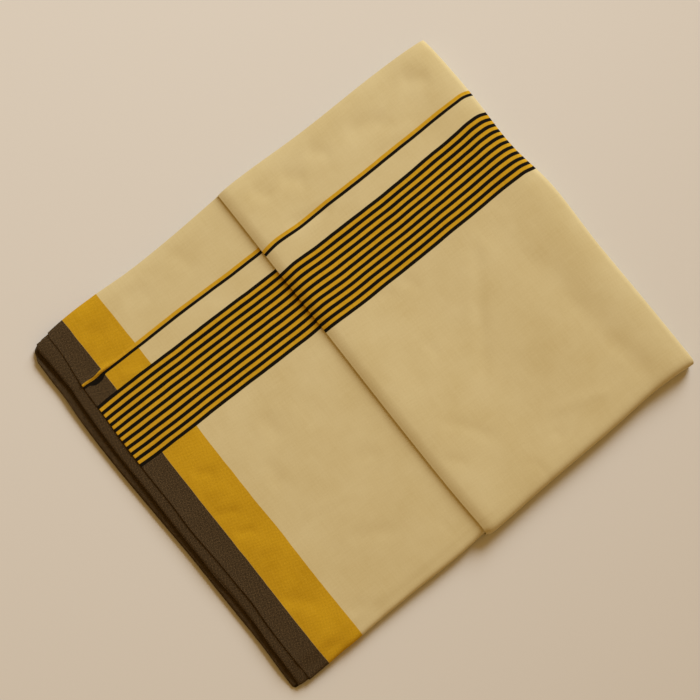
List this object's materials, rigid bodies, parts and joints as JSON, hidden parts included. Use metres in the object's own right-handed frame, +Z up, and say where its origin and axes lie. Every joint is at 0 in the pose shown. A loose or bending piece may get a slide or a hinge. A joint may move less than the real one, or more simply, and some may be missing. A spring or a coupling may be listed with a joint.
{
  "type": "folded handloom saree",
  "caption": "Long handloom cotton cloth folded into a flat rectangle, with layered edges, a folded-over flap and a striped end, to lie on a surface.",
  "frame": {"origin": "on the surface that the cloth lies on, under the middle of its outline", "axes": "+X runs across the cloth from the selvedges to the folded edge, +Y runs along it towards the loose end on top, +Z is up"},
  "size_m": [0.4023, 0.3453, 0.017],
  "materials": {
    "cream_cotton": "matte plain-woven handloom cotton, unbleached cream with gold and black weft stripes and a gold border",
    "inner_cream_cotton": "matte plain-woven handloom cotton, unbleached cream",
    "grey_border_cotton": "matte plain-woven handloom cotton, dark grey-brown selvedge border"
  },
  "bodies": {
    "root": {"top_panel": "cream_cotton", "folded_flap": "cream_cotton", "hidden_layers": "inner_cream_cotton", "upper_selvedges": "grey_border_cotton", "lower_selvedges": "grey_border_cotton"}
  },
  "joints": []
}
